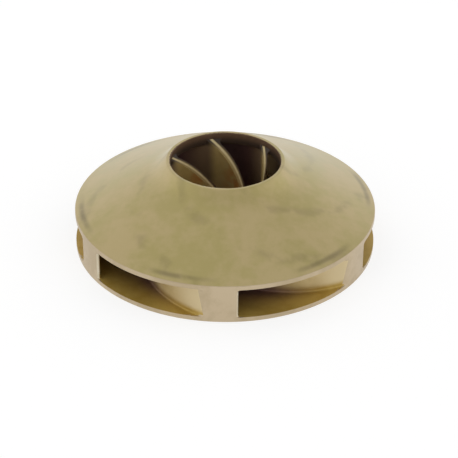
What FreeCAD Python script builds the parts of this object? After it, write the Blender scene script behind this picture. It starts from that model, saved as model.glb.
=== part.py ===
import FreeCAD, Part
import math
import os
import re

import Sketcher

# Pump rotor: a closed centrifugal impeller, cast in bronze as one piece.
# Millimetres, +Z up along the shaft, origin at the centre of the flat back face.
# Water enters the eye on top, runs outwards between backward-curved vanes and leaves
# through the rim. The casting is modelled as a founder makes it: an outer body, and
# a core with the shape of the waterway, which is taken out of it.

SIZES = [
    # outer body
    ("rim_d", 178.0, "outside diameter, turned"),
    ("height_total", 54.0, "back face to eye lip"),
    ("rim_height", 23.8, "back face to the outer edge of the front shroud"),
    ("land_w", 5.0, "turned land along the rim of the front shroud, width"),
    ("land_rise", 2.0, "rise of that land across its width"),
    ("neck_out", 6.9, "foot of the neck, out from the outer edge of the lip"),
    ("neck_drop", 7.6, "foot of the neck, down from the lip"),
    ("neck_round", 30.0, "radius of the flare between cone and neck"),
    ("lip_wall", 2.2, "wall of the eye lip at its top"),
    ("lip_round_out", 1.0, "rounding of the outer edge of the lip"),
    ("lip_round_in", 0.6, "rounding of the inner edge of the lip"),
    ("rim_break", 0.5, "rounding of the turned edges of the rim"),
    # waterway
    ("eye_d", 65.0, "inside diameter of the eye"),
    ("back_wall", 3.0, "back shroud at the rim"),
    ("floor_rise", 4.5, "rise of the floor from the rim to the hub"),
    ("flare_round", 8.7, "bend from the floor into the hub"),
    ("front_wall", 2.6, "front shroud at the rim, measured upright"),
    ("roof_drop", 7.4, "where the roof meets the wall of the eye, down from the lip"),
    ("roof_round", 1.8, "bend from the roof into the wall of the eye"),
    ("root_round", 1.2, "casting fillets along both edges of each vane face"),
    # vanes, laid out face by face in arcs from ring to ring
    ("vane_count", 6, "number of vanes"),
    ("tip_bearing", 34.5, "direction of the first vane tip's blunt edge, degrees from +X"),
    ("tip_angle_wide", 12.0, "width of a vane tip on the rim, degrees"),
    ("tip_angle_past", 4.5, "where the inner vane face would meet the rim, past that edge, degrees"),
    ("tip_angle_lean", 2.5, "how far the blunt edge leans back by the last layout circle, degrees"),
    ("tip_round", 0.6, "rounding between the inner vane face and the blunt edge"),
    ("ring_one_d", 120.0, "first layout ring inside the rim, diameter"),
    ("ring_two_d", 68.0, "second layout ring"),
    ("ring_three_d", 40.0, "third layout ring"),
    ("vane_bury", 2.0, "how far the vanes run into the hub"),
    ("outer_angle_rim", 21.0, "angle of the outer vane face to the rim, degrees"),
    ("outer_angle_one", 29.5, "and to the first layout ring"),
    ("outer_angle_two", 30.0, "second ring"),
    ("outer_angle_three", 29.0, "third ring"),
    ("outer_angle_hub", 34.5, "inside the hub"),
    ("inner_angle_rim", 14.3, "angle of the inner vane face to the rim, degrees"),
    ("inner_angle_one", 29.0, "and to the first layout ring"),
    ("inner_angle_two", 30.5, "second ring"),
    ("inner_angle_three", 32.5, "third ring"),
    ("inner_angle_hub", 35.5, "inside the hub"),
    # leading edges of the vanes, as seen in the eye
    ("edge_mid_in", 7.0, "corner of the leading edge line, in from the wall of the eye"),
    ("edge_mid_drop", 12.5, "and down from the lip"),
    ("edge_round", 80.0, "bulge of the line at that corner, radius"),
    ("edge_eye_drop", 3.8, "where the line meets the wall of the eye, down from the lip"),
    # hub
    ("hub_d", 28.0, "hub diameter"),
    ("hub_stand", 5.8, "how far the hub stands above the feet of the leading edges"),
    ("nose_round", 2.5, "rounding of the hub nose"),
    ("bore_d", 15.9, "shaft bore"),
    ("bore_break", 0.8, "chamfers of the bore"),
    ("key_w", 4.8, "keyway width"),
    ("key_deep", 2.4, "keyway depth beyond the bore"),
    # construction
    ("overrun", 2.0, "how far the core runs past the faces that it opens"),
]

ALIASES = {alias for alias, value, note in SIZES}
WORD = re.compile(r"[a-z_]+")
TINY = 1e-3
LEAST_CUT = 1.0

# Radii and heights that follow from the sizes.
RIM_R = "(rim_d / 2)"
EYE_R = "(eye_d / 2)"
HUB_R = "(hub_d / 2)"
BORE_R = "(bore_d / 2)"
LIP_R = f"({EYE_R} + lip_wall)"
LAND_R = f"({RIM_R} - land_w)"
CORE_R = f"({RIM_R} + overrun)"
PLAN_R = f"({CORE_R} + overrun)"
CORE_TOP = "(height_total + overrun)"
ROOF_RIM_Z = "(rim_height - front_wall)"
ROOF_EYE_Z = "(height_total - roof_drop)"
EDGE_HUB_Z = "(back_wall + floor_rise + flare_round)"
EDGE_EYE_Z = "(height_total - edge_eye_drop)"
HUB_TOP = f"({EDGE_HUB_Z} + hub_stand)"
OUTER_CORNER = "(tip_bearing - tip_angle_wide)"
INNER_CORNER = "tip_bearing"
INNER_AIM = "(tip_bearing + tip_angle_past)"
EDGE_FAR = "(tip_bearing - tip_angle_lean)"
RINGS = [("ring_one", "(ring_one_d / 2)"), ("ring_two", "(ring_two_d / 2)"),
         ("ring_three", "(ring_three_d / 2)"), ("ring_hub", f"({HUB_R} - vane_bury)")]

doc = FreeCAD.newDocument("pump_rotor")
sheet = doc.addObject("Spreadsheet::Sheet", "Sizes")
for row, (alias, value, note) in enumerate(SIZES, start=1):
    sheet.set(f"A{row}", note)
    sheet.set(f"B{row}", str(value))
    sheet.setAlias(f"B{row}", alias)
doc.recompute()


def bound(formula):
    """The formula with each size's name pointing at its cell in the sheet."""
    return WORD.sub(lambda m: "Sizes." + m.group() if m.group() in ALIASES else m.group(), formula)


def number(formula):
    """What the formula comes to with the sizes as they are."""
    return float(sheet.evalExpression(formula))


def new_sketch(body, name, role):
    """An empty sketch on one of the body's own origin planes."""
    sketch = body.newObject("Sketcher::SketchObject", name)
    plane = next(feature for feature in body.Origin.OriginFeatures if feature.Role == role)
    sketch.AttachmentSupport = [(plane, "")]
    sketch.MapMode = "FlatFace"
    return sketch


def dimension(sketch, name, formula, kind, *where):
    """One named dimension of a sketch, bound to the sheet."""
    index = sketch.addConstraint(Sketcher.Constraint(kind, *where, number(formula)))
    sketch.renameConstraint(index, name)
    sketch.setExpression("Constraints." + name, bound(formula))


def place_point(sketch, name, x, y, geometry, end):
    """Hold one point of a sketch at its distance from each axis."""
    for axis, kind, formula, letter in ((-2, "DistanceX", x, "x"), (-1, "DistanceY", y, "y")):
        if number(formula) == 0:
            sketch.addConstraint(Sketcher.Constraint("PointOnObject", geometry, end, axis))
        else:
            dimension(sketch, f"{name}_{letter}", formula, kind, -1, 1, geometry, end)


def place_polar(sketch, name, radius, bearing, geometry, end):
    """Hold one point of a sketch at its distance and direction from the shaft axis."""
    place_point(sketch, name, f"{radius} * cos({bearing})", f"{radius} * sin({bearing})", geometry, end)


def toward(start, end, distance):
    return start + (end - start).normalize() * distance


def corner_arc(before, here, after, radius):
    """The arc that rounds a corner, with its ends on the run before and the run after."""
    turn = math.pi - (before - here).getAngle(after - here)
    cut = radius * math.tan(turn / 2)
    enter = toward(here, before, cut)
    leave = toward(here, after, cut)
    middle = toward(here, (enter + leave) / 2, radius / math.cos(turn / 2) - radius)
    return enter, leave, Part.Arc(enter, middle, leave)


def draw_outline(sketch, corners):
    """A closed outline. A corner is a name, x and y, and a radius where it is rounded."""
    points = [FreeCAD.Vector(number(corner[1]), number(corner[2]), 0) for corner in corners]
    count = len(corners)
    enter, leave, arcs = list(points), list(points), {}
    for i, corner in enumerate(corners):
        if len(corner) == 4:
            after = points[(i + 1) % count]
            enter[i], leave[i], arcs[i] = corner_arc(points[i - 1], points[i], after, number(corner[3]))
    sketch.addGeometry([Part.LineSegment(leave[i], enter[(i + 1) % count]) for i in range(count)], False)
    for i, corner in enumerate(corners):
        before = (i - 1) % count
        if i not in arcs:
            sketch.addConstraint(Sketcher.Constraint("Coincident", before, 2, i, 1))
            place_point(sketch, *corner, i, 1)
            continue
        arc = sketch.addGeometry(arcs[i], False)
        starts_here = sketch.getPoint(arc, 1).distanceToPoint(enter[i]) < TINY
        first, second = (1, 2) if starts_here else (2, 1)
        mark = sketch.addGeometry(Part.Point(points[i]), True)
        place_point(sketch, *corner[:3], mark, 1)
        sketch.addConstraint(Sketcher.Constraint("Tangent", before, 2, arc, first))
        sketch.addConstraint(Sketcher.Constraint("Tangent", i, 1, arc, second))
        sketch.addConstraint(Sketcher.Constraint("PointOnObject", mark, 1, before))
        sketch.addConstraint(Sketcher.Constraint("PointOnObject", mark, 1, i))
        dimension(sketch, corner[0] + "_round", corner[3], "Radius", arc)


def draw_circle(sketch, name, formula, construction):
    """A circle about the shaft axis, with its radius."""
    circle = Part.Circle(FreeCAD.Vector(0, 0, 0), FreeCAD.Vector(0, 0, 1), number(formula))
    geometry = sketch.addGeometry(circle, construction)
    sketch.addConstraint(Sketcher.Constraint("Coincident", geometry, 3, -1, 1))
    dimension(sketch, name, formula, "Radius", geometry)
    return geometry


def revolve(body, name, corners):
    """A solid of revolution about the shaft, from an outline in the XZ plane."""
    sketch = new_sketch(body, name + "Outline", "XZ_Plane")
    draw_outline(sketch, corners)
    feature = body.newObject("PartDesign::Revolution", name)
    feature.Profile = sketch
    feature.ReferenceAxis = (sketch, ["V_Axis"])
    feature.Angle = 360
    feature.Refine = False
    doc.recompute()
    return feature


def cut_through(body, name, sketch):
    """A cut straight up through the whole body."""
    volume = body.Shape.Volume
    feature = body.newObject("PartDesign::Pocket", name)
    feature.Profile = sketch
    feature.Type = "ThroughAll"
    feature.Reversed = True
    feature.Refine = False
    doc.recompute()
    if feature.Shape.Volume > volume - LEAST_CUT:
        raise RuntimeError(name + " cuts nothing")
    return feature


def dress(body, kind, name, edges, prop, size):
    """A fillet or a chamfer on some edges of the body as it is."""
    if not edges:
        raise RuntimeError("no edges for " + name)
    base = body.Tip
    feature = body.newObject("PartDesign::" + kind, name)
    feature.Base = (base, edges)
    feature.Refine = False
    feature.setExpression(prop, bound(size))
    doc.recompute()
    return feature


def edge_names(shape, wanted):
    return [f"Edge{i}" for i, edge in enumerate(shape.Edges, start=1) if wanted(edge)]


def round_edges(shape, radius, height):
    """The circular edges about the shaft with this radius at this height."""
    def wanted(edge):
        curve = edge.Curve
        if not isinstance(curve, Part.Circle) or math.hypot(curve.Center.x, curve.Center.y) > TINY:
            return False
        return abs(curve.Radius - number(radius)) < TINY and abs(curve.Center.z - number(height)) < TINY
    return edge_names(shape, wanted)


def is_vane_wall(face):
    surface = face.Surface
    if isinstance(surface, Part.Plane):
        return abs(surface.Axis.z) < TINY
    return isinstance(surface, Part.Cylinder) and math.hypot(surface.Center.x, surface.Center.y) > TINY


def is_level(face):
    return isinstance(face.Surface, Part.Plane) and not is_vane_wall(face)


def vane_roots(shape):
    """The edges where the vane faces meet the floor, the roof, the hub and the wall of the eye."""
    def wanted(edge):
        if min(math.hypot(vertex.X, vertex.Y) for vertex in edge.Vertexes) > number(RIM_R):
            return False
        faces = shape.ancestorsOfType(edge, Part.Face)
        walls = [is_vane_wall(face) for face in faces]
        return any(walls) and not all(walls) and not any(is_level(face) for face in faces)
    return edge_names(shape, wanted)


def polar(radius, bearing):
    return FreeCAD.Vector(radius * math.cos(bearing), radius * math.sin(bearing), 0)


def nearest_crossing(centre, radius, ring, start):
    """Where the circle about centre crosses a ring about the shaft, on the side of start."""
    reach = centre.Length
    along = (ring ** 2 - radius ** 2 + reach ** 2) / (2 * reach)
    across = math.sqrt(ring ** 2 - along ** 2)
    unit = FreeCAD.Vector(centre).normalize()
    side = FreeCAD.Vector(-unit.y, unit.x, 0)
    choices = (unit * along + side * across, unit * along - side * across)
    return min(choices, key=lambda point: point.distanceToPoint(start))


def arc_radius(outer_ring, outer_angle, inner_ring, inner_angle):
    """Radius of the arc that crosses two rings at the given angles."""
    rise = f"({outer_ring}^2 - {inner_ring}^2)"
    return f"({rise} / (2 * ({outer_ring} * cos({outer_angle}) - {inner_ring} * cos({inner_angle}))))"


def draw_vane_face(sketch, face, bearing, ring_circles, find_end):
    """Tangent arcs from the tip to inside the hub. Gives back the first and the last."""
    angles = [f"{face}_angle_{place}" for place in ("rim", "one", "two", "three", "hub")]
    rings = [RIM_R] + [formula for name, formula in RINGS]
    radii = [arc_radius(rings[i], angles[i], rings[i + 1], angles[i + 1]) for i in range(len(RINGS))]
    tip_turn = math.radians(number(bearing))
    tip = polar(number(RIM_R), tip_turn)
    inward = polar(1, tip_turn + math.pi - math.radians(number(angles[0])))
    point, arcs = tip, []
    for i, formula in enumerate(radii):
        radius = number(formula)
        centre = point + inward * radius
        inner_end = nearest_crossing(centre, radius, number(rings[i + 1]), point)
        outer_end = point if i else find_end(centre, radius)
        start = math.atan2(inner_end.y - centre.y, inner_end.x - centre.x)
        sweep = (outer_end - centre).getAngle(inner_end - centre)
        circle = Part.Circle(centre, FreeCAD.Vector(0, 0, 1), radius)
        arcs.append(sketch.addGeometry(Part.ArcOfCircle(circle, start, start + sweep), False))
        dimension(sketch, f"{face}_arc_{i}", formula, "Radius", arcs[-1])
        sketch.addConstraint(Sketcher.Constraint("PointOnObject", arcs[-1], 1, ring_circles[i]))
        if i:
            sketch.addConstraint(Sketcher.Constraint("Tangent", arcs[-2], 1, arcs[-1], 2))
        point = inner_end
        inward = (centre - inner_end).normalize()
    mark = sketch.addGeometry(Part.Point(tip), True)
    place_polar(sketch, face + "_tip", RIM_R, bearing, mark, 1)
    sketch.addConstraint(Sketcher.Constraint("PointOnObject", mark, 1, arcs[0]))
    spread = f"2 * {RIM_R} * {radii[0]} * cos({angles[0]})"
    dimension(sketch, face + "_centre", f"sqrt({RIM_R}^2 + {radii[0]}^2 - {spread})", "Distance",
              -1, 1, arcs[0], 3)
    return arcs[0], arcs[-1]


def blunt_edge_points(centre, radius):
    """The round that joins the inner vane face, an arc about centre, to the straight blunt edge.
    Gives its first point, its middle point, its last point and the far end of the edge."""
    nose = number("tip_round")
    corner = polar(number(RIM_R), math.radians(number(INNER_CORNER)))
    far_end = polar(number(PLAN_R), math.radians(number(EDGE_FAR)))
    along = (far_end - corner).normalize()
    into_vane = FreeCAD.Vector(along.y, -along.x, 0)
    start = corner + into_vane * nose - centre
    lead = start.dot(along)
    steps = math.sqrt(lead ** 2 - start.dot(start) + (radius + nose) ** 2)
    step = min((-lead - steps, -lead + steps), key=abs)
    middle = centre + start + along * step
    face_end = toward(middle, centre, nose)
    edge_start = middle - into_vane * nose
    crown = middle + ((face_end - middle) + (edge_start - middle)).normalize() * nose
    return face_end, crown, edge_start, far_end


def draw_blunt_edge(sketch, face):
    """The blunt edge of the vane tip, from the end of the inner face to past the rim."""
    centre, radius = sketch.getPoint(face, 3), sketch.Geometry[face].Radius
    face_end, crown, edge_start, far_end = blunt_edge_points(centre, radius)
    nose = sketch.addGeometry(Part.Arc(face_end, crown, edge_start), False)
    starts_here = sketch.getPoint(nose, 1).distanceToPoint(face_end) < TINY
    first, second = (1, 2) if starts_here else (2, 1)
    edge = sketch.addGeometry(Part.LineSegment(edge_start, far_end), False)
    sketch.addConstraint(Sketcher.Constraint("Tangent", face, 2, nose, first))
    sketch.addConstraint(Sketcher.Constraint("Tangent", nose, second, edge, 1))
    dimension(sketch, "nose", "tip_round", "Radius", nose)
    place_polar(sketch, "edge_far", PLAN_R, EDGE_FAR, edge, 2)
    mark = sketch.addGeometry(Part.Point(polar(number(RIM_R), math.radians(number(INNER_CORNER)))), True)
    place_polar(sketch, "edge_rim", RIM_R, INNER_CORNER, mark, 1)
    sketch.addConstraint(Sketcher.Constraint("PointOnObject", mark, 1, edge))
    return edge


def draw_vane(sketch):
    """Plan of one vane, longer than the real one at both ends."""
    ring_circles = [draw_circle(sketch, name, formula, True) for name, formula in RINGS]
    plan_circle = draw_circle(sketch, "past_rim", PLAN_R, True)
    outer_corner = polar(number(RIM_R), math.radians(number(OUTER_CORNER)))

    def past_rim(centre, radius):
        return nearest_crossing(centre, radius, number(PLAN_R), outer_corner)

    def before_nose(centre, radius):
        return blunt_edge_points(centre, radius)[0]

    outer = draw_vane_face(sketch, "outer", OUTER_CORNER, ring_circles, past_rim)
    sketch.addConstraint(Sketcher.Constraint("PointOnObject", outer[0], 2, plan_circle))
    inner = draw_vane_face(sketch, "inner", INNER_AIM, ring_circles, before_nose)
    edge = draw_blunt_edge(sketch, inner[0])
    for outer_arc, inner_side, end in ((outer[0], edge, 2), (outer[1], inner[1], 1)):
        closing = Part.LineSegment(sketch.getPoint(outer_arc, end), sketch.getPoint(inner_side, end))
        line = sketch.addGeometry(closing, False)
        sketch.addConstraint(Sketcher.Constraint("Coincident", line, 1, outer_arc, end))
        sketch.addConstraint(Sketcher.Constraint("Coincident", line, 2, inner_side, end))


# The waterway between the shrouds, a little longer than the real one past the rim and the lip.
floor_slope = f"(floor_rise / ({RIM_R} - {HUB_R}))"
roof_slope = f"(({ROOF_EYE_Z} - {ROOF_RIM_Z}) / ({RIM_R} - {EYE_R}))"
waterway = doc.addObject("PartDesign::Body", "WaterwayCore")
revolve(waterway, "Passage", [
    ("past_rim_floor", CORE_R, f"back_wall - overrun * {floor_slope}"),
    ("past_rim_roof", CORE_R, f"{ROOF_RIM_Z} - overrun * {roof_slope}"),
    ("roof_eye", EYE_R, ROOF_EYE_Z, "roof_round"),
    ("eye_top", EYE_R, "height_total"),
    ("hub_line_top", HUB_R, "height_total"),
    ("floor_hub", HUB_R, "back_wall + floor_rise", "flare_round"),
])

# The vanes divide it into separate passages.
vane_plan = new_sketch(waterway, "VanePlan", "XY_Plane")
draw_vane(vane_plan)
doc.recompute()
vane = cut_through(waterway, "Vane", vane_plan)
vanes = waterway.newObject("PartDesign::PolarPattern", "Vanes")
vanes.Originals = [vane]
vanes.Axis = (vane_plan, ["N_Axis"])
vanes.Angle = 360
vanes.Refine = False
vanes.setExpression("Occurrences", bound("vane_count"))
waterway.Tip = vanes
doc.recompute()
dress(waterway, "Fillet", "VaneRoots", vane_roots(vanes.Shape), "Radius", "root_round")

# Above the leading edges of the vanes the passages join in the eye, around the hub nose.
revolve(waterway, "Eye", [
    ("bore_mouth_axis", "0", f"{HUB_TOP} - bore_break"),
    ("bore_mouth", BORE_R, f"{HUB_TOP} - bore_break"),
    ("nose_flat", f"{BORE_R} + bore_break", HUB_TOP),
    ("nose", HUB_R, HUB_TOP, "nose_round"),
    ("edge_hub", HUB_R, EDGE_HUB_Z),
    ("edge_mid", f"{EYE_R} - edge_mid_in", "height_total - edge_mid_drop", "edge_round"),
    ("edge_eye", EYE_R, EDGE_EYE_Z),
    ("lip_inside", EYE_R, "height_total", "lip_round_in"),
    ("lip_over", LIP_R, "height_total"),
    ("core_top", LIP_R, CORE_TOP),
    ("axis_top", "0", CORE_TOP),
])

# The outer body: back face, turned rim, cone, neck and lip.
rotor = doc.addObject("PartDesign::Body", "Impeller")
rotor.Label = "impeller"
revolve(rotor, "Outside", [
    ("back_middle", "0", "0"),
    ("back_rim", RIM_R, "0"),
    ("front_rim", RIM_R, "rim_height"),
    ("land", LAND_R, "rim_height + land_rise"),
    ("neck", f"{LIP_R} + neck_out", "height_total - neck_drop", "neck_round"),
    ("lip", LIP_R, "height_total"),
    ("top_middle", "0", "height_total"),
])
rim_circles = round_edges(rotor.Shape, RIM_R, "0") + round_edges(rotor.Shape, RIM_R, "rim_height")
dress(rotor, "Fillet", "RimEdges", rim_circles, "Radius", "rim_break")
lip_circle = round_edges(rotor.Shape, LIP_R, "height_total")
dress(rotor, "Fillet", "LipOutside", lip_circle, "Radius", "lip_round_out")

# Shaft bore and keyway, through the hub.
bore_plan = new_sketch(rotor, "BorePlan", "XY_Plane")
draw_circle(bore_plan, "bore", BORE_R, False)
cut_through(rotor, "Bore", bore_plan)
dress(rotor, "Chamfer", "BoreMouth", round_edges(rotor.Shape, BORE_R, "0"), "Size", "bore_break")
key_plan = new_sketch(rotor, "KeywayPlan", "XY_Plane")
draw_outline(key_plan, [
    ("key_low_left", "-key_w / 2", "0"),
    ("key_low_right", "key_w / 2", "0"),
    ("key_high_right", "key_w / 2", f"{BORE_R} + key_deep"),
    ("key_high_left", "-key_w / 2", f"{BORE_R} + key_deep"),
])
cut_through(rotor, "Keyway", key_plan)

# The waterway is taken out of the outer body, which opens the eye and the rim.
solid_volume = rotor.Shape.Volume
cored = rotor.newObject("PartDesign::Boolean", "Cored")
cored.Type = "Cut"
cored.setObjects([waterway])
cored.Refine = False
doc.recompute()
if cored.Shape.Volume > solid_volume - LEAST_CUT:
    raise RuntimeError("the core cuts nothing")

for thing in doc.Objects:
    if "Invalid" in thing.State or "Error" in thing.State:
        raise RuntimeError(f"{thing.Name} failed: {thing.State}")
if rotor.Shape.isNull() or not rotor.Shape.isValid() or len(rotor.Shape.Solids) != 1:
    raise RuntimeError("the casting isn't one valid solid")

os.makedirs("parts", exist_ok=True)
rotor.Shape.exportStep(f"parts/{rotor.Label}.step")
print(f"{rotor.Label}: {len(rotor.Shape.Faces)} faces, {rotor.Shape.Volume / 1000:.1f} cm3")
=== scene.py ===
# %% [markdown]
# # Pump rotor
#
# This lesson dresses a cast bronze pump rotor. The rotor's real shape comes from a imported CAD
# model, in metres, with its flat back on the floor and its shaft along Z. Here it gets the skin
# of a sand casting, the turned bands of a lathe, a studio and a camera.

import math

import bmesh
import bpy
from mathutils import Matrix, Vector


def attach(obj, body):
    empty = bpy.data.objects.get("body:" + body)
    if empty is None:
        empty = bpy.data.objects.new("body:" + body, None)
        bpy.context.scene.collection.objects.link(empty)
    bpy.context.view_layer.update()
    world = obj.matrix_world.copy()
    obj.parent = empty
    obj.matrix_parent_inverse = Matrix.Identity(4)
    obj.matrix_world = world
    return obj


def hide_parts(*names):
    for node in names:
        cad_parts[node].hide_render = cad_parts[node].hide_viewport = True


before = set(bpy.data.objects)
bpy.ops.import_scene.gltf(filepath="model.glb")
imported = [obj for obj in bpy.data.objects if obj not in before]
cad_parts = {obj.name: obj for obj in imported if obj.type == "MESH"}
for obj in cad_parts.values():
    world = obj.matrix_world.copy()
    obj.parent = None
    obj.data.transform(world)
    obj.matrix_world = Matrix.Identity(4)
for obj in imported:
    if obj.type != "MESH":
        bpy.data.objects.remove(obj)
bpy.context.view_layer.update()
rotor_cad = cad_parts["impeller"]

# %% [markdown]
# ## The sizes that the finishes follow
#
# A finish changes where the founder's mould ends and the lathe begins. Those places are known
# from the drawing, so they are written down once, in metres, and everything below reads them.

# %% Places on the rotor
MM = 0.001
RIM_R = 89.0 * MM
LIP_TOP = 54.0 * MM
LIP_R = 34.7 * MM
EYE_R = 32.5 * MM
ROOF_RIM_Z = 21.2 * MM
ROOF_EYE_Z = 46.6 * MM
HUB_R = 14.0 * MM
HUB_TOP = 22.0 * MM
KEYWAY_R = 10.6 * MM
VANE_COUNT = 6
FIRST_TIP_TURN = math.radians(5.0)

# %% [markdown]
# ## A smooth copy of the casting
#
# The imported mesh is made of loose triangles, which would show as facets. A merged copy can be
# shaded smooth, with its real corners kept sharp by their angle. The copy stands for the CAD
# node, which stays hidden for collision.

# %% Merge the triangles into one skin
SAME_POINT = 1e-6
CORNER_ANGLE = math.radians(32.0)

skin = bmesh.new()
skin.from_mesh(rotor_cad.data)
bmesh.ops.remove_doubles(skin, verts=skin.verts[:], dist=SAME_POINT)
bmesh.ops.dissolve_degenerate(skin, edges=skin.edges[:], dist=SAME_POINT)
print("skin:", len(skin.verts), "points,", len(skin.faces), "triangles")

# %% [markdown]
# ## Which finish each face has
#
# The outside of the front shroud, with the neck and the lip, keeps the cast skin. The rim, the
# vane tips, the back face, the bore and its keyway were machined after casting. The waterway is
# cast too, and its colour darkens inwards as painted shade, up to the inner edge of the lip. Two
# places in it are painted bright: the leading edges of the vanes, with a painted highlight along
# their middle, and the narrow blunt edges of the vane tips, rubbed bright and with a painted
# highlight. Each face takes its finish from where its middle lies and where it looks.

# %% Sort the faces by finish
CAST, TURNED, WATERWAY, LIT_EDGE, TIP_EDGE = 0, 1, 2, 3, 4
TURNED_SKIN = 0.7 * MM
MID_WALL_R = (EYE_R + LIP_R) / 2
LIP_LOOKS_IN = 0.35
EDGE_LOOKS_IN = 0.5
EDGE_LOOKS_UP = 0.25
TIP_EDGE_R = 86.0 * MM
TIP_EDGE_LOOKS_ROUND = 0.6
TIP_EDGE_LOOKS_OUT = 0.3


def roof_height(radius):
    """Height of the waterway's roof at this radius."""
    share = (RIM_R - radius) / (RIM_R - EYE_R)
    return ROOF_RIM_Z + (ROOF_EYE_Z - ROOF_RIM_Z) * share


def looks_out(face, middle, radius):
    """How far the face looks away from the shaft, from 1 outwards to -1 inwards."""
    return (face.normal.x * middle.x + face.normal.y * middle.y) / radius


def looks_round(face, middle, radius):
    """How far the face looks along the rim, from 0 to 1."""
    return abs(face.normal.y * middle.x - face.normal.x * middle.y) / radius


def finish_of(face):
    """The finish of one face, from its middle and its direction."""
    middle = face.calc_center_median()
    radius = math.hypot(middle.x, middle.y)
    outward = looks_out(face, middle, radius)
    along_rim = looks_round(face, middle, radius)
    # Narrow blunt tip edges: rubbed metal with a painted highlight.
    if radius > TIP_EDGE_R and along_rim > TIP_EDGE_LOOKS_ROUND and outward > TIP_EDGE_LOOKS_OUT:
        return TIP_EDGE
    if radius > RIM_R - TURNED_SKIN or middle.z < TURNED_SKIN:
        return TURNED
    if radius < KEYWAY_R and middle.z < HUB_TOP - MM:
        return TURNED
    if middle.z > LIP_TOP - TURNED_SKIN:
        # The inner edge of the lip, looking inwards, takes the waterway's colour as painted shade.
        return WATERWAY if outward < -LIP_LOOKS_IN else CAST
    if radius > MID_WALL_R and middle.z > roof_height(radius) + TURNED_SKIN:
        return CAST
    # Leading-edge faces get the painted highlight and shade of the edge finish.
    if HUB_R < radius < EYE_R and -outward > EDGE_LOOKS_IN and face.normal.z > EDGE_LOOKS_UP:
        return LIT_EDGE
    return WATERWAY


for face in skin.faces:
    face.material_index = finish_of(face)
    face.smooth = True
for edge in skin.edges:
    edge.smooth = not (edge.is_manifold and edge.calc_face_angle() > CORNER_ANGLE)

casting_mesh = bpy.data.meshes.new("impeller_casting")
skin.to_mesh(casting_mesh)
skin.free()
casting = bpy.data.objects.new("impeller_casting", casting_mesh)
bpy.context.scene.collection.objects.link(casting)
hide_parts("impeller")
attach(casting, "root")
print("casting:", len(casting_mesh.polygons), "faces")

# %% [markdown]
# Smooth shading averages the normals at each point. Large faces should win over slivers there,
# which is what a Weighted Normal modifier does.

# %% Let the large faces win
LARGE_FACE_WEIGHT = 80

weighted = casting.modifiers.new("large faces win", "WEIGHTED_NORMAL")
weighted.keep_sharp = True
weighted.weight = LARGE_FACE_WEIGHT
print("modifier:", weighted.name)

# %% [markdown]
# ## Building materials from nodes
#
# A few small helpers keep the node code readable. The first adds a node with its settings and
# links its inputs. The others add the kinds of node that are used most, start a group or a
# material, and fill in the sockets of a material's shader.

# %% Node helpers


def add_node(tree, kind, inputs=(), **settings):
    """A new node. inputs maps an input's name or number to a value or to a socket."""
    node = tree.nodes.new(kind)
    for name, value in settings.items():
        setattr(node, name, value)
    for key, value in dict(inputs).items():
        socket = node.inputs[key]
        if isinstance(value, bpy.types.NodeSocket):
            tree.links.new(value, socket)
        else:
            socket.default_value = value
    return node


def math_node(tree, operation, *values):
    """A Math node with its values in order. Gives back its output."""
    return add_node(tree, "ShaderNodeMath", dict(enumerate(values)), operation=operation).outputs[0]


def product(tree, first, *others):
    """first times each of the others in turn."""
    for value in others:
        first = math_node(tree, "MULTIPLY", first, value)
    return first


def smooth_range(tree, value, low, high, to_low=0.0, to_high=1.0):
    """value from low to high becomes to_low to to_high, eased at both ends."""
    inputs = {"Value": value, "From Min": low, "From Max": high,
              "To Min": to_low, "To Max": to_high}
    node = add_node(tree, "ShaderNodeMapRange", inputs, interpolation_type="SMOOTHSTEP")
    return node.outputs[0]


def mix_colour(tree, share, first, second):
    """The first colour where share is 0, the second where it is 1."""
    colours = {0: share, 6: first, 7: second}
    return add_node(tree, "ShaderNodeMix", colours, data_type="RGBA").outputs[2]


def add_noise(tree, place, scale, detail):
    """Plain noise as one value."""
    inputs = {"Vector": place, "Scale": scale, "Detail": detail}
    return add_node(tree, "ShaderNodeTexNoise", inputs).outputs[0]


def new_group(name, inputs, outputs):
    """An empty node group with float or vector sockets. Gives the tree and its two end nodes."""
    tree = bpy.data.node_groups.new(name, "ShaderNodeTree")
    for socket_name, socket_type, default in inputs:
        socket = tree.interface.new_socket(
            name=socket_name, in_out="INPUT", socket_type=socket_type)
        if default is not None:
            socket.default_value = default
    for socket_name, socket_type in outputs:
        tree.interface.new_socket(name=socket_name, in_out="OUTPUT", socket_type=socket_type)
    return tree, tree.nodes.new("NodeGroupInput"), tree.nodes.new("NodeGroupOutput")


def place_group(tree, group, inputs):
    """One use of a node group in a material."""
    return add_node(tree, "ShaderNodeGroup", inputs, node_tree=group)


def new_material(name):
    """A material with a Principled BSDF only. Gives it, its tree, the shader and coordinates."""
    material = bpy.data.materials.new(name)
    material.use_nodes = True
    tree = material.node_tree
    shader = tree.nodes["Principled BSDF"]
    place = tree.nodes.new("ShaderNodeTexCoord").outputs["Object"]
    return material, tree, shader, place


def set_metal(tree, shader, colour, metallic, roughness):
    """The shader's colour, and how metallic and how rough it is."""
    tree.links.new(colour, shader.inputs["Base Color"])
    shader.inputs["Metallic"].default_value = metallic
    shader.inputs["Roughness"].default_value = roughness


def add_bump(tree, shader, height, strength, depth):
    """Relief too fine to model, from a height, into the shader's normals."""
    inputs = {"Height": height, "Strength": strength, "Distance": depth}
    bump = add_node(tree, "ShaderNodeBump", inputs)
    tree.links.new(bump.outputs[0], shader.inputs["Normal"])


def srgb(red, green, blue):
    """A colour given on a 0 to 255 scale, as the linear colour that Blender wants."""
    def linear(value):
        value = value / 255
        return value / 12.92 if value <= 0.04045 else ((value + 0.055) / 1.055) ** 2.4
    return (linear(red), linear(green), linear(blue), 1.0)


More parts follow.
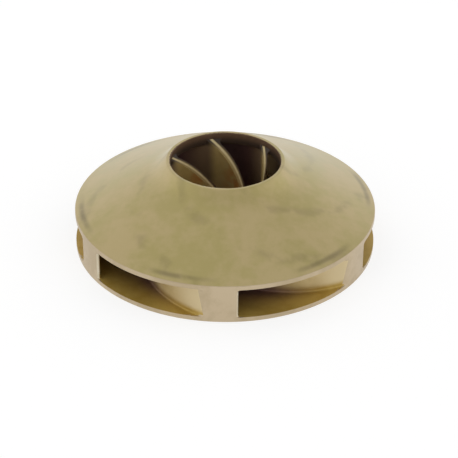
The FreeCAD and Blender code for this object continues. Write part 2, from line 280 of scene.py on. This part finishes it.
# %% [markdown]
# ## Cloudy tone, a shared effect
#
# Old bronze is never one colour: it drifts between olive and a pinkish tan over a few
# centimetres, and more finely within that. Two layers of noise give that drift as one value,
# and every finish of the casting uses it with its own scale.

# %% Group: cloudy tone
FINE_SCALE_TIMES = 6.5
BROAD_SHARE = 0.65
FINE_SHARE = 0.35
TONE_RANGE = (0.38, 0.62)

cloud_group, cloud_in, cloud_out = new_group(
    "cloudy tone",
    [("Vector", "NodeSocketVector", None), ("Scale", "NodeSocketFloat", 30.0)],
    [("Tone", "NodeSocketFloat")])
broad = add_node(cloud_group, "ShaderNodeTexNoise",
                 {"Vector": cloud_in.outputs["Vector"], "Scale": cloud_in.outputs["Scale"],
                  "Detail": 3.0, "Roughness": 0.55, "Distortion": 0.6})
fine_scale = math_node(cloud_group, "MULTIPLY", cloud_in.outputs["Scale"], FINE_SCALE_TIMES)
fine = add_node(cloud_group, "ShaderNodeTexNoise",
                {"Vector": cloud_in.outputs["Vector"], "Scale": fine_scale,
                 "Detail": 4.0, "Roughness": 0.6})
fine_part = math_node(cloud_group, "MULTIPLY", fine.outputs[0], FINE_SHARE)
both = math_node(cloud_group, "MULTIPLY_ADD", broad.outputs[0], BROAD_SHARE, fine_part)
spread = smooth_range(cloud_group, both, *TONE_RANGE)
cloud_group.links.new(spread, cloud_out.inputs["Tone"])


def cloud_tone(tree, place, scale):
    """The cloudy tone in a finish. A larger scale gives smaller clouds."""
    return place_group(tree, cloud_group, {"Vector": place, "Scale": scale}).outputs["Tone"]


print("group:", cloud_group.name)

# %% [markdown]
# ## Sand grain, a shared effect
#
# A sand mould leaves a fine pebbled skin. It is far too small to model, a tenth of a
# millimetre deep at most, so it goes into the normals through a Bump node in each material.

# %% Group: sand grain
DENT_SCALE_TIMES = 0.09
DENT_DEPTH_TIMES = 2.2

grain_group, grain_in, grain_out = new_group(
    "sand grain",
    [("Vector", "NodeSocketVector", None), ("Scale", "NodeSocketFloat", 900.0)],
    [("Height", "NodeSocketFloat")])
pebbles = add_node(grain_group, "ShaderNodeTexNoise",
                   {"Vector": grain_in.outputs["Vector"], "Scale": grain_in.outputs["Scale"],
                    "Detail": 3.0, "Roughness": 0.6})
dent_scale = math_node(grain_group, "MULTIPLY", grain_in.outputs["Scale"], DENT_SCALE_TIMES)
dents = add_node(grain_group, "ShaderNodeTexNoise",
                 {"Vector": grain_in.outputs["Vector"], "Scale": dent_scale, "Detail": 2.0})
dent_part = math_node(grain_group, "MULTIPLY", dents.outputs[0], DENT_DEPTH_TIMES)
grain_height = math_node(grain_group, "ADD", pebbles.outputs[0], dent_part)
grain_group.links.new(grain_height, grain_out.inputs["Height"])
print("group:", grain_group.name)

# %% [markdown]
# ## Where a point is on the wheel, a shared effect
#
# Everything on a rotor repeats around its shaft, so the finishes ask three things of a point:
# how far out it is, at what turn and how high. This group gives them from the object's
# coordinates.

# %% Group: radius and turn
polar_group, polar_in, polar_out = new_group(
    "radius and turn", [("Vector", "NodeSocketVector", None)],
    [("Radius", "NodeSocketFloat"), ("Turn", "NodeSocketFloat"), ("Height", "NodeSocketFloat")])
parts = add_node(polar_group, "ShaderNodeSeparateXYZ", {0: polar_in.outputs["Vector"]})
x_squared = math_node(polar_group, "MULTIPLY", parts.outputs[0], parts.outputs[0])
r_squared = math_node(polar_group, "MULTIPLY_ADD", parts.outputs[1], parts.outputs[1], x_squared)
radius_out = math_node(polar_group, "SQRT", r_squared)
minus_y = math_node(polar_group, "MULTIPLY", parts.outputs[1], -1.0)
turn_out = math_node(polar_group, "ARCTAN2", parts.outputs[0], minus_y)
polar_group.links.new(radius_out, polar_out.inputs["Radius"])
polar_group.links.new(turn_out, polar_out.inputs["Turn"])
polar_group.links.new(parts.outputs[2], polar_out.inputs["Height"])
print("group:", polar_group.name)

# %% [markdown]
# ## The cast skin of the front shroud
#
# The cone is khaki bronze, satin rather than shiny. Over each vane underneath, a faint darker
# streak spirals in from the rim, and where each streak meets the rim there is a darker smudge.
# Both repeat with the vanes, so both are drawn in the turn measured from the vane's own path,
# which makes them follow the casting from any side.

# %% Cast skin: turn from the vanes
VANE_STEP = 2 * math.pi / VANE_COUNT
STREAK_START_R = 85.0 * MM

cast_skin, skin_tree, skin_shader, skin_place = new_material("cast_skin")
skin_tone = cloud_tone(skin_tree, skin_place, scale=26.0)
skin_polar = place_group(skin_tree, polar_group, {"Vector": skin_place})
skin_radius = skin_polar.outputs["Radius"]
wobble = add_noise(skin_tree, skin_place, scale=55.0, detail=3.0)


def off_vane_path(start, sweep, wander):
    """How far a point of the skin is turned from the nearest vane's spiral path, in radians.
    start is the path's turn at its outer end, sweep its turn per metre, wander its waviness."""
    inward = math_node(skin_tree, "SUBTRACT", STREAK_START_R, skin_radius)
    path = math_node(skin_tree, "MULTIPLY_ADD", inward, sweep, -start - FIRST_TIP_TURN)
    turned_by = math_node(skin_tree, "ADD", skin_polar.outputs["Turn"], path)
    drift = math_node(skin_tree, "MULTIPLY_ADD", wobble, wander, -wander / 2)
    turned_by = math_node(skin_tree, "ADD", turned_by, drift)
    nearest = math_node(skin_tree, "WRAP", turned_by, VANE_STEP / 2, -VANE_STEP / 2)
    return math_node(skin_tree, "ABSOLUTE", nearest)


print("vanes every", round(math.degrees(VANE_STEP)), "degrees")

# %% Cast skin: streaks along the vanes
STREAK_START = math.radians(-22.0)
STREAK_SWEEP = math.radians(1.75) / MM
STREAK_WANDER = 0.35
STREAK_CORE = math.radians(1.0)
STREAK_HALF = math.radians(8.5)
STREAK_PATCHES = (0.42, 0.62)

off_streak = off_vane_path(STREAK_START, STREAK_SWEEP, STREAK_WANDER)
streak = smooth_range(skin_tree, off_streak, STREAK_CORE, STREAK_HALF, 1.0, 0.0)
streak_patches = add_noise(skin_tree, skin_place, scale=70.0, detail=4.0)
streak_patches = smooth_range(skin_tree, streak_patches, *STREAK_PATCHES)
streak_mask = product(skin_tree, streak, streak_patches)
print("streaks:", VANE_COUNT)

# %% Cast skin: smudges at the rim
SMUDGE_R = 85.0 * MM
SMUDGE_CORE_WIDTH = 0.2 * MM
SMUDGE_HALF_WIDTH = 2.5 * MM
SMUDGE_MIDDLE = math.radians(-23.5)
SMUDGE_CORE = math.radians(3.0)
SMUDGE_HALF = math.radians(18.0)
SMUDGE_WANDER = 0.25
SMUDGE_PATCHES = (0.1, 0.55)

off_smudge_r = math_node(skin_tree, "SUBTRACT", skin_radius, SMUDGE_R)
off_smudge_r = math_node(skin_tree, "ABSOLUTE", off_smudge_r)
smudge_band = smooth_range(
    skin_tree, off_smudge_r, SMUDGE_CORE_WIDTH, SMUDGE_HALF_WIDTH, 1.0, 0.0)
off_smudge = off_vane_path(SMUDGE_MIDDLE, 0.0, SMUDGE_WANDER)
smudge_length = smooth_range(skin_tree, off_smudge, SMUDGE_CORE, SMUDGE_HALF, 1.0, 0.0)
smudge_patches = add_noise(skin_tree, skin_place, scale=110.0, detail=3.0)
smudge_patches = smooth_range(skin_tree, smudge_patches, *SMUDGE_PATCHES)
smudge_mask = product(skin_tree, smudge_band, smudge_length, smudge_patches)
print("smudges:", VANE_COUNT)

# %% Cast skin: colour, roughness and grain
OLIVE_BRONZE = srgb(172, 157, 96)
TAN_BRONZE = srgb(188, 169, 118)
STREAK_BRONZE = srgb(114, 101, 56)
STREAK_SHARE = 0.24
SMUDGE_DARK = srgb(94, 82, 44)
SMUDGE_SHARE = 0.5
SKIN_ROUGHNESS = (0.46, 0.56)

skin_colour = mix_colour(skin_tree, skin_tone, OLIVE_BRONZE, TAN_BRONZE)
streak_share = math_node(skin_tree, "MULTIPLY", streak_mask, STREAK_SHARE)
skin_colour = mix_colour(skin_tree, streak_share, skin_colour, STREAK_BRONZE)
smudge_share = math_node(skin_tree, "MULTIPLY", smudge_mask, SMUDGE_SHARE)
skin_colour = mix_colour(skin_tree, smudge_share, skin_colour, SMUDGE_DARK)
skin_tree.links.new(skin_colour, skin_shader.inputs["Base Color"])
skin_rough = smooth_range(skin_tree, skin_tone, 0.0, 1.0, *SKIN_ROUGHNESS)
skin_tree.links.new(skin_rough, skin_shader.inputs["Roughness"])
skin_shader.inputs["Metallic"].default_value = 0.75
skin_shader.inputs["Coat Weight"].default_value = 0.8
skin_shader.inputs["Coat Roughness"].default_value = 0.35
skin_grain = place_group(skin_tree, grain_group, {"Vector": skin_place, "Scale": 1100.0})
add_bump(skin_tree, skin_shader, skin_grain.outputs["Height"], strength=0.3, depth=0.08 * MM)
print("finish:", cast_skin.name)

# %% [markdown]
# ## Turned bronze
#
# The lathe cut through the cast skin, so the rim, the vane tips, the back face and the bore
# show paler, pinker metal with fine grooves around the shaft. A noise read along one line only,
# the sum of radius and height, gives grooves that run round every turned face.

# %% Turned bronze
TURNED_METAL = (srgb(186, 168, 137), srgb(198, 180, 150))
GROOVES_PER_METRE = 2600.0

turned, turned_tree, turned_shader, turned_place = new_material("turned_bronze")
turned_polar = place_group(turned_tree, polar_group, {"Vector": turned_place})
across = math_node(turned_tree, "ADD",
                   turned_polar.outputs["Radius"], turned_polar.outputs["Height"])
grooves = add_node(turned_tree, "ShaderNodeTexNoise",
                   {"W": across, "Scale": GROOVES_PER_METRE, "Detail": 2.0}, noise_dimensions="1D")
turned_tone = cloud_tone(turned_tree, turned_place, scale=40.0)
turned_colour = mix_colour(turned_tree, turned_tone, *TURNED_METAL)
set_metal(turned_tree, turned_shader, turned_colour, metallic=0.8, roughness=0.4)
add_bump(turned_tree, turned_shader, grooves.outputs[0], strength=0.3, depth=0.03 * MM)
print("finish:", turned.name)

# %% [markdown]
# ## The waterway
#
# Near the rim the passages are painted almost as pale as the turned tips, a painted light where
# light reaches the mouths. Further in they turn golden olive and then dark brown, a painted shade
# deep in the passages. The distance from the shaft drives these changes, a little differently
# on the floor and on the vanes, which the height tells apart.

# %% Waterway: from the rim inwards
VANE_METAL = (srgb(198, 174, 118), srgb(210, 188, 136))
FLOOR_METAL = (srgb(180, 148, 66), srgb(194, 164, 84))
# The deep brown below is painted shade deep in the passages, and the pale tip colour is painted
# light near the tips.
DEEP_SHADE_BROWN = (srgb(94, 64, 62), srgb(110, 78, 73))
TIP_LIGHT_PALE = srgb(216, 196, 152)
VANE_FOOT_Z = (4.5 * MM, 8.5 * MM)
FLOOR_BRIGHTENS = (60 * MM, 86 * MM)
VANE_BRIGHTENS = (62 * MM, 79 * MM)
TIP_BRIGHTENS = (76 * MM, 87 * MM)

waterway, water_tree, water_shader, water_place = new_material("waterway_skin")
water_polar = place_group(water_tree, polar_group, {"Vector": water_place})
water_radius = water_polar.outputs["Radius"]
water_height = water_polar.outputs["Height"]
water_tone = cloud_tone(water_tree, water_place, scale=34.0)
above_floor = smooth_range(water_tree, water_height, *VANE_FOOT_Z)
floor_metal = mix_colour(water_tree, water_tone, *FLOOR_METAL)
vane_metal = mix_colour(water_tree, water_tone, *VANE_METAL)
near_rim = mix_colour(water_tree, above_floor, floor_metal, vane_metal)
deep = mix_colour(water_tree, water_tone, *DEEP_SHADE_BROWN)
floor_outward = smooth_range(water_tree, water_radius, *FLOOR_BRIGHTENS)
vane_outward = smooth_range(water_tree, water_radius, *VANE_BRIGHTENS)
outward = add_node(water_tree, "ShaderNodeMix",
                   {0: above_floor, 2: floor_outward, 3: vane_outward}).outputs[0]
at_tip = smooth_range(water_tree, water_radius, *TIP_BRIGHTENS)
at_tip = product(water_tree, at_tip, above_floor)
water_colour = mix_colour(water_tree, outward, deep, near_rim)
water_colour = mix_colour(water_tree, at_tip, water_colour, TIP_LIGHT_PALE)
print("passages: pale at the rim, brown inside")

# %% [markdown]
# A painted shade also darkens the corner where the outer face of each vane meets the floor. The
# foot of that face is
# a spiral, so the shade beside it is drawn by how far a point is turned from that spiral. It
# stays on the face's own side, low on the vane, and fades towards the rim.

# %% Waterway: shade at the foot of each vane
FLOOR_RIM_Z = 3.0 * MM
FLOOR_SLOPE = 0.06
FLOOR_AXIS_Z = FLOOR_RIM_Z + RIM_R * FLOOR_SLOPE
FOOT_SWEEP = math.radians(1.527) / MM
FOOT_START = math.radians(23.71)
FOOT_SHADE_TURN = (math.radians(1.0), math.radians(16.0))
FACE_SIDE_TURN = (math.radians(-2.0), math.radians(-0.8))
FOOT_SHADE_HEIGHT = (0.5 * MM, 6.0 * MM)
FOOT_SHADE_FADES = (86 * MM, 66 * MM)
FOOT_SHADE = 0.75

foot_turn = math_node(water_tree, "MULTIPLY_ADD", water_radius, FOOT_SWEEP, -FOOT_START)
from_foot = math_node(water_tree, "SUBTRACT", foot_turn, water_polar.outputs["Turn"])
from_foot = math_node(water_tree, "WRAP", from_foot, VANE_STEP / 2, -VANE_STEP / 2)
beside_foot = smooth_range(water_tree, from_foot, *FOOT_SHADE_TURN, 1.0, 0.0)
this_side = smooth_range(water_tree, from_foot, *FACE_SIDE_TURN)
floor_here = math_node(water_tree, "MULTIPLY_ADD", water_radius, -FLOOR_SLOPE, FLOOR_AXIS_Z)
over_floor = math_node(water_tree, "SUBTRACT", water_height, floor_here)
low_on_vane = smooth_range(water_tree, over_floor, *FOOT_SHADE_HEIGHT, 1.0, 0.0)
fades_at_rim = smooth_range(water_tree, water_radius, *FOOT_SHADE_FADES, 0.0, FOOT_SHADE)
foot_shade = product(water_tree, beside_foot, this_side, low_on_vane, fades_at_rim)
water_colour = mix_colour(water_tree, foot_shade, water_colour, deep)
print("feet of the vanes shaded by up to", FOOT_SHADE)

# %% [markdown]
# In the eye the wall is painted brown as shade, darkest where it bends into the roof. The vanes
# and the hub are tan again there as painted light, with a few rusty patches near the hub.

# %% Waterway: the eye
# The wall colours are painted shade, darkest at the bend into the roof.
WALL_SHADE_BROWN = (srgb(104, 80, 60), srgb(116, 90, 68))
WALL_FOOT = srgb(62, 48, 38)
WALL_FOOT_TO_TOP = (48 * MM, 53 * MM)
UNDER_WALL = srgb(128, 104, 78)
UNDER_WALL_Z = (48 * MM, 45 * MM)
BEND_R = (42 * MM, 33 * MM)
# The tan of the vanes and the hub in the eye is painted light.
EYE_LIT_TAN = (srgb(186, 161, 98), srgb(198, 172, 112))
EYE_LIT_TAN_R = (32.4 * MM, 28.5 * MM)
RUST = srgb(188, 122, 54)
RUST_R = (29 * MM, 20 * MM)
RUST_SHARE = 0.7
RUST_PATCHES = (0.38, 0.58)

up_the_wall = smooth_range(water_tree, water_height, *WALL_FOOT_TO_TOP)
under_the_wall = smooth_range(water_tree, water_height, *UNDER_WALL_Z)
shaded_eye_wall = mix_colour(water_tree, water_tone, *WALL_SHADE_BROWN)
shaded_eye_wall = mix_colour(water_tree, up_the_wall, WALL_FOOT, shaded_eye_wall)
shaded_eye_wall = mix_colour(water_tree, under_the_wall, shaded_eye_wall, UNDER_WALL)
in_bend = smooth_range(water_tree, water_radius, *BEND_R)
water_colour = mix_colour(water_tree, in_bend, water_colour, shaded_eye_wall)
rusty = add_noise(water_tree, water_place, scale=130.0, detail=3.0)
rusty = smooth_range(water_tree, rusty, *RUST_PATCHES)
near_hub = smooth_range(water_tree, water_radius, *RUST_R, 0.0, RUST_SHARE)
rusty = product(water_tree, rusty, near_hub)
in_eye = mix_colour(water_tree, water_tone, *EYE_LIT_TAN)
in_eye = mix_colour(water_tree, rusty, in_eye, RUST)
inward = smooth_range(water_tree, water_radius, *EYE_LIT_TAN_R)
water_colour = mix_colour(water_tree, inward, water_colour, in_eye)
set_metal(water_tree, water_shader, water_colour, metallic=0.35, roughness=0.5)
water_grain = place_group(water_tree, grain_group, {"Vector": water_place, "Scale": 900.0})
add_bump(water_tree, water_shader, water_grain.outputs["Height"], strength=0.4, depth=0.1 * MM)
print("finish:", waterway.name)

# %% [markdown]
# ## Leading edges: painted highlight and shade
#
# A thin pale ridge along the leading edge of each vane is a painted highlight, as on a rounded
# edge. The ridge runs along the middle of the vane, whose turn about the shaft is known at
# every radius, so the highlight is drawn by how far a point is turned from that line. The side
# behind the ridge and the end at the wall of the eye are darker, as painted shade.

# %% Leading edge: painted highlight and shade
RIDGE_CURVE = (-0.08324, 7.8014, -149.918)
RIDGE_HALF = math.radians(2.6)
RIDGE_CORE = 0.3 * RIDGE_HALF
BEHIND_RIDGE = (math.radians(1.2), math.radians(4.0))
RIDGE_END_R = (27 * MM, 32 * MM)
# The pale ridge colour is a painted highlight; the shaded and end colours are painted shade.
EDGE_DULL = (srgb(150, 128, 78), srgb(164, 138, 90))
EDGE_PALE = (srgb(194, 175, 126), srgb(208, 190, 144))
EDGE_SHADED = srgb(84, 66, 46)
EDGE_END = srgb(56, 44, 34)

edge_light, edge_light_tree, edge_light_shader, edge_light_place = new_material("edge_highlight_and_shade")
edge_light_polar = place_group(edge_light_tree, polar_group, {"Vector": edge_light_place})
edge_light_radius = edge_light_polar.outputs["Radius"]
edge_light_tone = cloud_tone(edge_light_tree, edge_light_place, scale=60.0)
edge_light_mm = math_node(edge_light_tree, "DIVIDE", edge_light_radius, MM)
ridge_turn = math_node(edge_light_tree, "MULTIPLY_ADD", edge_light_mm, RIDGE_CURVE[0], RIDGE_CURVE[1])
ridge_turn = math_node(edge_light_tree, "MULTIPLY_ADD", ridge_turn, edge_light_mm, RIDGE_CURVE[2])
ridge_turn = math_node(edge_light_tree, "RADIANS", ridge_turn)
from_ridge = math_node(edge_light_tree, "SUBTRACT", ridge_turn, edge_light_polar.outputs["Turn"])
from_ridge = math_node(edge_light_tree, "WRAP", from_ridge, VANE_STEP / 2, -VANE_STEP / 2)
off_ridge = math_node(edge_light_tree, "ABSOLUTE", from_ridge)
on_ridge = smooth_range(edge_light_tree, off_ridge, RIDGE_CORE, RIDGE_HALF, 1.0, 0.0)
shaded = smooth_range(edge_light_tree, from_ridge, *BEHIND_RIDGE)
towards_wall = smooth_range(edge_light_tree, edge_light_radius, *RIDGE_END_R)
ridge_highlight = mix_colour(edge_light_tree, edge_light_tone, *EDGE_PALE)
edge_light_colour = mix_colour(edge_light_tree, edge_light_tone, *EDGE_DULL)
edge_light_colour = mix_colour(edge_light_tree, shaded, edge_light_colour, EDGE_SHADED)
edge_light_colour = mix_colour(edge_light_tree, towards_wall, edge_light_colour, EDGE_END)
edge_light_colour = mix_colour(edge_light_tree, on_ridge, edge_light_colour, ridge_highlight)
set_metal(edge_light_tree, edge_light_shader, edge_light_colour, metallic=0.4, roughness=0.45)
print("finish:", edge_light.name)

# %% [markdown]
# ## Vane tip edges
#
# Beside each turned tip the casting ends in a narrow blunt edge, rubbed bright, and its colour
# also carries a painted highlight.

# %% Tip edge
# The bright tip colour is rubbed metal with a painted highlight.
TIP_BRIGHT = (srgb(226, 214, 184), srgb(240, 230, 206))

tip_edge, tip_tree, tip_shader, tip_place = new_material("tip_edge")
tip_tone = cloud_tone(tip_tree, tip_place, scale=90.0)
tip_colour = mix_colour(tip_tree, tip_tone, *TIP_BRIGHT)
set_metal(tip_tree, tip_shader, tip_colour, metallic=0.2, roughness=0.4)

for finish in (cast_skin, turned, waterway, edge_light, tip_edge):
    casting_mesh.materials.append(finish)
print("finishes:", [finish.name for finish in casting_mesh.materials])

# %% [markdown]
# ## The floor
#
# A flat sheet of pale studio paper, a hair below the rotor's back.

# %% Floor
FLOOR_HALF = 3.0
FLOOR_DROP = 0.0002

floor_shape = bmesh.new()
bmesh.ops.create_grid(floor_shape, x_segments=1, y_segments=1, size=FLOOR_HALF)
floor_mesh = bpy.data.meshes.new("studio_floor")
floor_shape.to_mesh(floor_mesh)
floor_shape.free()
floor = bpy.data.objects.new("studio_floor", floor_mesh)
floor.location.z = -FLOOR_DROP
bpy.context.scene.collection.objects.link(floor)
print("floor:", 2 * FLOOR_HALF, "m square")

# %% [markdown]
# The paper should look white in the picture, apart from the rotor's soft shadow, and still
# light the rotor from below no more than paper would. So the camera's rays, and those from
# mirrors and through glass, meet a darker paper that glows, and all others meet plain paper.

# %% Paper
PAPER_GREY = (0.8, 0.8, 0.8, 1.0)
SHADOW_GREY = (0.3, 0.3, 0.3, 1.0)
WHITE = (1.0, 1.0, 1.0, 1.0)
PAPER_GLOW = 0.76

floor_paint = bpy.data.materials.new("studio_paper")
floor_paint.use_nodes = True
paper = floor_paint.node_tree
paper.nodes.remove(paper.nodes["Principled BSDF"])
paper_out = paper.nodes["Material Output"]
rays = paper.nodes.new("ShaderNodeLightPath")
seen = math_node(paper, "MAXIMUM", rays.outputs["Is Camera Ray"], rays.outputs["Is Glossy Ray"])
seen = math_node(paper, "MAXIMUM", seen, rays.outputs["Is Transmission Ray"])
plain = add_node(paper, "ShaderNodeBsdfDiffuse", {"Color": PAPER_GREY})
faint = add_node(paper, "ShaderNodeBsdfDiffuse", {"Color": SHADOW_GREY})
glow = add_node(paper, "ShaderNodeEmission", {"Color": WHITE, "Strength": PAPER_GLOW})
lifted = add_node(paper, "ShaderNodeAddShader", {0: faint.outputs[0], 1: glow.outputs[0]})
paper_mix = add_node(paper, "ShaderNodeMixShader",
                     {0: seen, 1: plain.outputs[0], 2: lifted.outputs[0]})
paper.links.new(paper_mix.outputs[0], paper_out.inputs["Surface"])
floor_mesh.materials.append(floor_paint)
print("paper:", floor_paint.name)

# %% [markdown]
# ## Light
#
# The rotor stands in a white tent: brightest at the left and right, a little darker overhead
# and in front, on the camera's side. Each change of the tent's light is written as four
# numbers: where along its axis it begins and ends, and the strength at both places.

# %% Tent
DIMMER_ABOVE = (0.15, 0.95, 1.0, 0.5)
DIMMER_IN_FRONT = (-1.0, -0.3, 0.82, 1.14)
BRIGHTER_AT_SIDES = (0.5, 1.0, 1.0, 1.14)

world = bpy.data.worlds.new("white_tent")
bpy.context.scene.world = world
world.use_nodes = True
sky = world.node_tree
background = sky.nodes["Background"]
direction = sky.nodes.new("ShaderNodeTexCoord").outputs["Generated"]
way = add_node(sky, "ShaderNodeSeparateXYZ", {0: direction})
dimmer_above = smooth_range(sky, way.outputs[2], *DIMMER_ABOVE)
dimmer_in_front = smooth_range(sky, way.outputs[1], *DIMMER_IN_FRONT)
sideways = math_node(sky, "ABSOLUTE", way.outputs[0])
brighter_at_sides = smooth_range(sky, sideways, *BRIGHTER_AT_SIDES)
strength = product(sky, dimmer_above, dimmer_in_front, brighter_at_sides)
sky.links.new(strength, background.inputs["Strength"])
background.inputs["Color"].default_value = WHITE
print("tent:", world.name)

# %% [markdown]
# One large soft lamp above gives the casting its shape and the floor its shadow.

# %% Lamp
LAMP_PLACE = (-0.2, 0.15, 1.4)
LAMP_AIM = (0.0, 0.0, 0.0)
LAMP_SIZE = 1.6
LAMP_WATTS = 2.1

softbox = bpy.data.lights.new("overhead_softbox", "AREA")
softbox.shape = "SQUARE"
softbox.size = LAMP_SIZE
softbox.energy = LAMP_WATTS
lamp = bpy.data.objects.new("overhead_softbox", softbox)
lamp.location = LAMP_PLACE
lamp_way = Vector(LAMP_AIM) - Vector(LAMP_PLACE)
lamp.rotation_euler = lamp_way.to_track_quat("-Z", "Y").to_euler()
bpy.context.scene.collection.objects.link(lamp)
print("lamp:", softbox.size, "m square,", round(softbox.energy, 2), "W")

# %% [markdown]
# ## Camera
#
# The photograph looks down on the rotor at 32 degrees from about six rotor widths away. Its
# lens and place were worked out from the rim circles, so the rotor fills the frame the same way.

# %% Camera
FRAME_PIXELS = 458
SENSOR = 36.0
CAMERA_ELEVATION = math.radians(31.9)
DISTANCE_IN_RADII = 12
CAMERA_DISTANCE = DISTANCE_IN_RADII * RIM_R
CAMERA_ROLL = math.radians(0.437)
CAMERA_TARGET = Vector((0.0272 * RIM_R, 0.0, 0.0689 * RIM_R))
RADIUS_IN_PIXELS = 148.38
FOCAL_PIXELS = RADIUS_IN_PIXELS * DISTANCE_IN_RADII
FAR_CLIP = 20.0

forward = Vector((0.0, math.cos(CAMERA_ELEVATION), -math.sin(CAMERA_ELEVATION)))
level_right = Vector((1.0, 0.0, 0.0))
level_up = level_right.cross(forward)
camera_right = math.cos(CAMERA_ROLL) * level_right + math.sin(CAMERA_ROLL) * level_up
camera_up = math.cos(CAMERA_ROLL) * level_up - math.sin(CAMERA_ROLL) * level_right

lens = bpy.data.cameras.new("photo_camera")
lens.sensor_width = SENSOR
lens.lens = FOCAL_PIXELS * SENSOR / FRAME_PIXELS
lens.clip_end = FAR_CLIP
camera = bpy.data.objects.new("photo_camera", lens)
turned_axes = Matrix((camera_right, camera_up, -forward)).transposed().to_4x4()
camera.matrix_world = Matrix.Translation(CAMERA_TARGET - forward * CAMERA_DISTANCE) @ turned_axes
bpy.context.scene.collection.objects.link(camera)
bpy.context.scene.camera = camera
bpy.context.scene.view_settings.view_transform = "Standard"
print("camera lens", round(lens.lens, 2), "mm")
